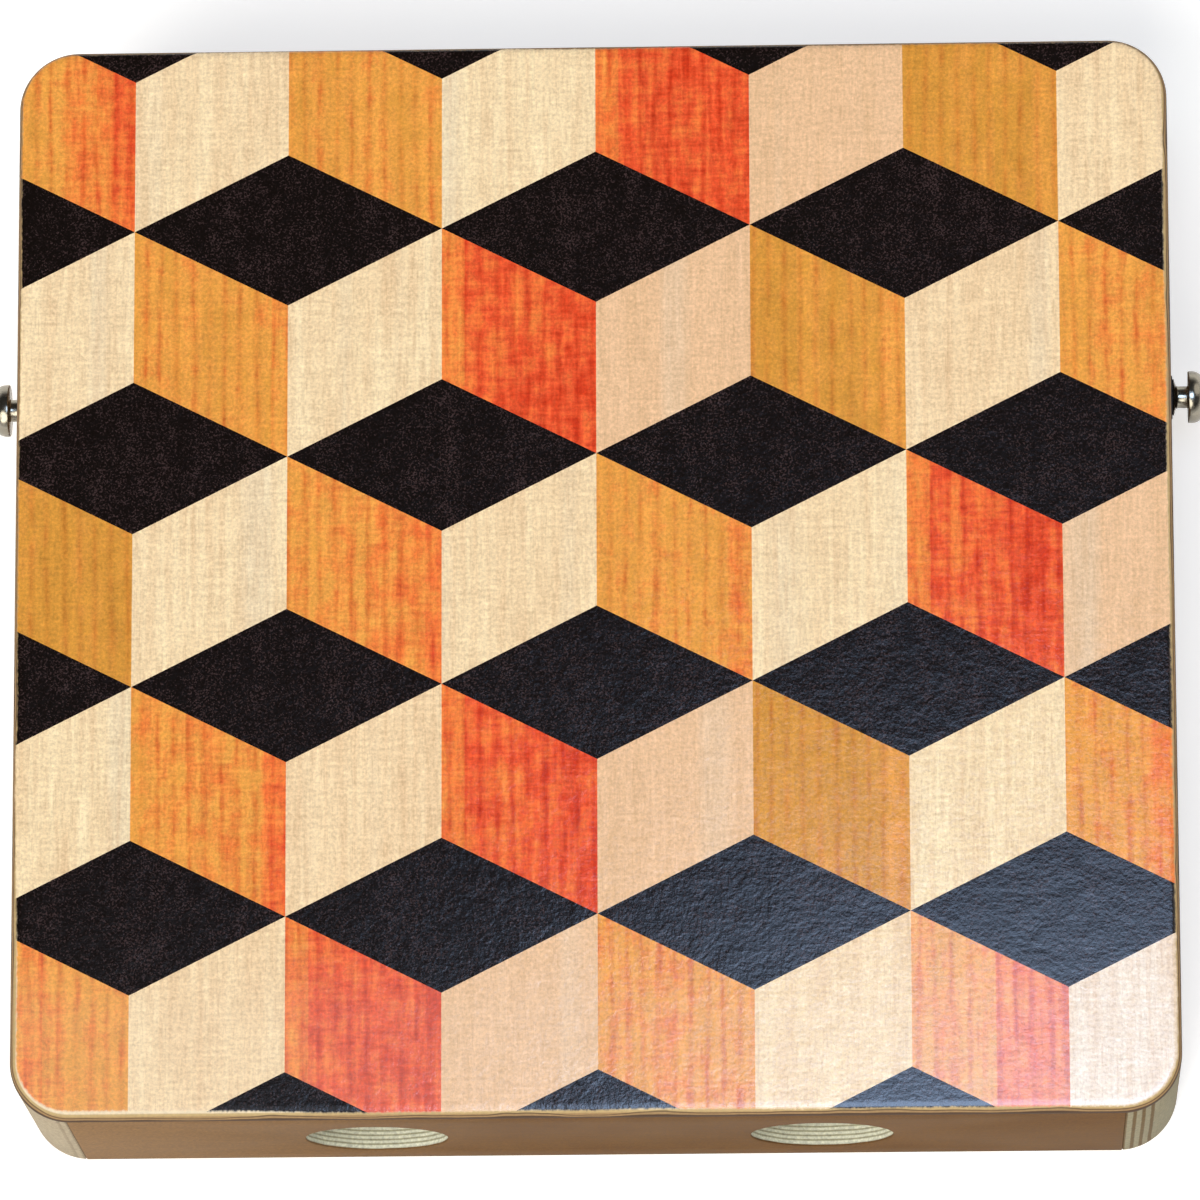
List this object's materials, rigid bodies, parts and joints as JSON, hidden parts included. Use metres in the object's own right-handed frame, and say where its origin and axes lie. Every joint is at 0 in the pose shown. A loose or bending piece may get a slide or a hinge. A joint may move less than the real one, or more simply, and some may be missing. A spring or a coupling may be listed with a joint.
{
  "type": "travel cajon",
  "caption": "Flat plywood box drum with a thin printed playing plate, round sound holes in one wall, strap buttons on the sides and snare strings tuned from inside.",
  "frame": {"origin": "centre of the drum's outline, on the plane its feet rest on", "axes": "+Z out of the playing plate, +X to the right and +Y away from the wall with the sound holes, as seen when facing the plate"},
  "size_m": [0.329, 0.293, 0.0675],
  "materials": {
    "printed_plate": "satin varnish over a printed pattern",
    "brown_veneer": "matt brown",
    "birch_plywood": "raw",
    "softwood": "raw",
    "hardwood": "raw",
    "zinc_steel": "zinc plated",
    "nickel_plate": "polished nickel plate",
    "insert_brass": "turned",
    "string_bronze": "wound",
    "black_felt": "pressed felt",
    "foot_rubber": "matt"
  },
  "bodies": {
    "drum": {"tapa": "printed_plate", "side_left": "brown_veneer", "side_right": "brown_veneer", "side_top": "brown_veneer", "side_bottom": "brown_veneer", "back_panel": "birch_plywood", "corner_block_top_left": "softwood", "corner_block_top_right": "softwood", "corner_block_bottom_left": "softwood", "corner_block_bottom_right": "softwood", "back_batten_left": "softwood", "back_batten_right": "softwood", "back_batten_top": "softwood", "foot_top_left": "foot_rubber", "foot_top_right": "foot_rubber", "foot_bottom_left": "foot_rubber", "foot_bottom_right": "foot_rubber", "foot_screw_top_left": "zinc_steel", "foot_screw_top_right": "zinc_steel", "foot_screw_bottom_left": "zinc_steel", "foot_screw_bottom_right": "zinc_steel", "strap_button_left": "nickel_plate", "strap_button_right": "nickel_plate", "strap_screw_left": "zinc_steel", "strap_screw_right": "zinc_steel", "strap_felt_left": "black_felt", "strap_felt_right": "black_felt", "tuner_rail": "hardwood", "tuner_insert_left": "insert_brass", "tuner_insert_right": "insert_brass", "anchor_block": "hardwood", "anchor_plate": "zinc_steel", "anchor_screw_left": "zinc_steel", "anchor_screw_right": "zinc_steel", "string_left": "string_bronze", "string_right": "string_bronze"},
    "hook_left": {"string_hook_left": "zinc_steel"},
    "hook_right": {"string_hook_right": "zinc_steel"},
    "tuner_left": {"tuner_screw_left": "zinc_steel"},
    "tuner_right": {"tuner_screw_right": "zinc_steel"}
  },
  "joints": [
    {"name": "hook_left_slide", "type": "slide", "parent": "drum", "child": "hook_left", "axis": [0, 1, 0], "range_m": [-0.0024, 0.0024], "deforming": ["string_left"]},
    {"name": "hook_right_slide", "type": "slide", "parent": "drum", "child": "hook_right", "axis": [0, 1, 0], "range_m": [-0.0024, 0.0024], "deforming": ["string_right"]},
    {"name": "tuner_left_turn", "type": "hinge", "parent": "hook_left", "child": "tuner_left", "pos_m": [-0.0595, 0.0928, 0.0475], "axis": [0, 1, 0], "range_deg": [-1085, 1085]},
    {"name": "tuner_right_turn", "type": "hinge", "parent": "hook_right", "child": "tuner_right", "pos_m": [0.0595, 0.0928, 0.0475], "axis": [0, 1, 0], "range_deg": [-1085, 1085]}
  ],
  "couplings": [
    {"joint": "tuner_left_turn", "follows": "hook_left_slide", "rad_per_m": 7854},
    {"joint": "tuner_right_turn", "follows": "hook_right_slide", "rad_per_m": 7854}
  ]
}
